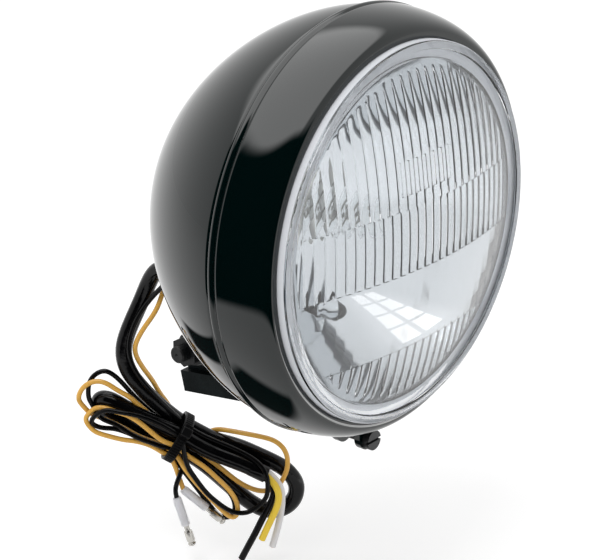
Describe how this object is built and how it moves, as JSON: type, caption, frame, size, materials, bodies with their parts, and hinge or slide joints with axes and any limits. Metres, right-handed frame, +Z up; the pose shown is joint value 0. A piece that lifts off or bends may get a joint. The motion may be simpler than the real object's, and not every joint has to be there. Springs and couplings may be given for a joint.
{
  "type": "round motorcycle headlight",
  "caption": "Round bottom-mount motorcycle headlight: gloss black bucket and trim ring, domed fluted glass lens, tilting mount and a tied wiring harness.",
  "frame": {"origin": "centre of the mouth of the threaded fixing hole, in the mount block's lower face", "axes": "+Z up, lens facing -Y with its axis level, +X to the right seen from in front of the lens's back, so the tilt bolt lies along X"},
  "size_m": [0.1904, 0.1939, 0.2964],
  "materials": {
    "black_paint": "high gloss black enamel",
    "black_casting": "satin black enamel on a casting",
    "black_steel": "blackened steel",
    "lens_glass": "pressed clear glass",
    "mirror_coat": "vacuum metallised",
    "bulb_envelope": "clear glass",
    "filament_metal": "bright wire",
    "zinc_steel": "zinc plated",
    "black_rubber": "matt moulded",
    "plug_plastic": "moulded",
    "black_pvc": "soft extruded sleeve",
    "white_pvc": "extruded",
    "yellow_pvc": "extruded",
    "orange_pvc": "extruded",
    "clear_pvc": "translucent sleeve",
    "tie_nylon": "moulded nylon",
    "tinned_brass": "tinned"
  },
  "bodies": {
    "mount": {"mount_block": "black_casting"},
    "lamp": {"bucket": "black_paint", "trim_ring": "black_paint", "lens": "lens_glass", "lens_gasket": "black_rubber", "reflector": "mirror_coat", "retaining_ring": "zinc_steel", "retaining_screws": "zinc_steel", "top_catch": "black_paint", "bulb_glass": "bulb_envelope", "bulb_filaments": "filament_metal", "bulb_base": "zinc_steel", "bulb_clip": "zinc_steel", "dust_boot": "black_rubber", "bulb_plug": "plug_plastic", "inner_leads": "white_pvc", "pilot_bulb": "bulb_envelope", "pilot_holder": "black_rubber", "pilot_leads": "orange_pvc", "ring_screw": "black_steel", "ring_nut": "black_steel", "mount_bracket": "black_paint", "bracket_plate": "zinc_steel", "bracket_screws": "black_steel", "pivot_bolt": "black_steel", "pivot_nut": "black_steel", "pivot_washers": "black_steel", "cable_grommet": "black_rubber", "harness_sleeve": "black_pvc", "harness_hank": "black_pvc", "cable_tie": "tie_nylon", "orange_wire": "orange_pvc", "black_wire": "black_pvc", "orange_end": "orange_pvc", "black_end": "black_pvc", "bullet_upper": "tinned_brass", "bullet_lower": "tinned_brass", "bullet_sleeve_upper": "clear_pvc", "bullet_sleeve_lower": "clear_pvc", "lead_yellow": "yellow_pvc", "lead_white": "white_pvc", "lead_black": "black_pvc"}
  },
  "joints": [
    {"name": "lamp_tilt", "type": "hinge", "parent": "mount", "child": "lamp", "pos_m": [0, 0.02253, 0.0194], "axis": [1, 0, 0], "range_deg": [-15, 10]}
  ]
}
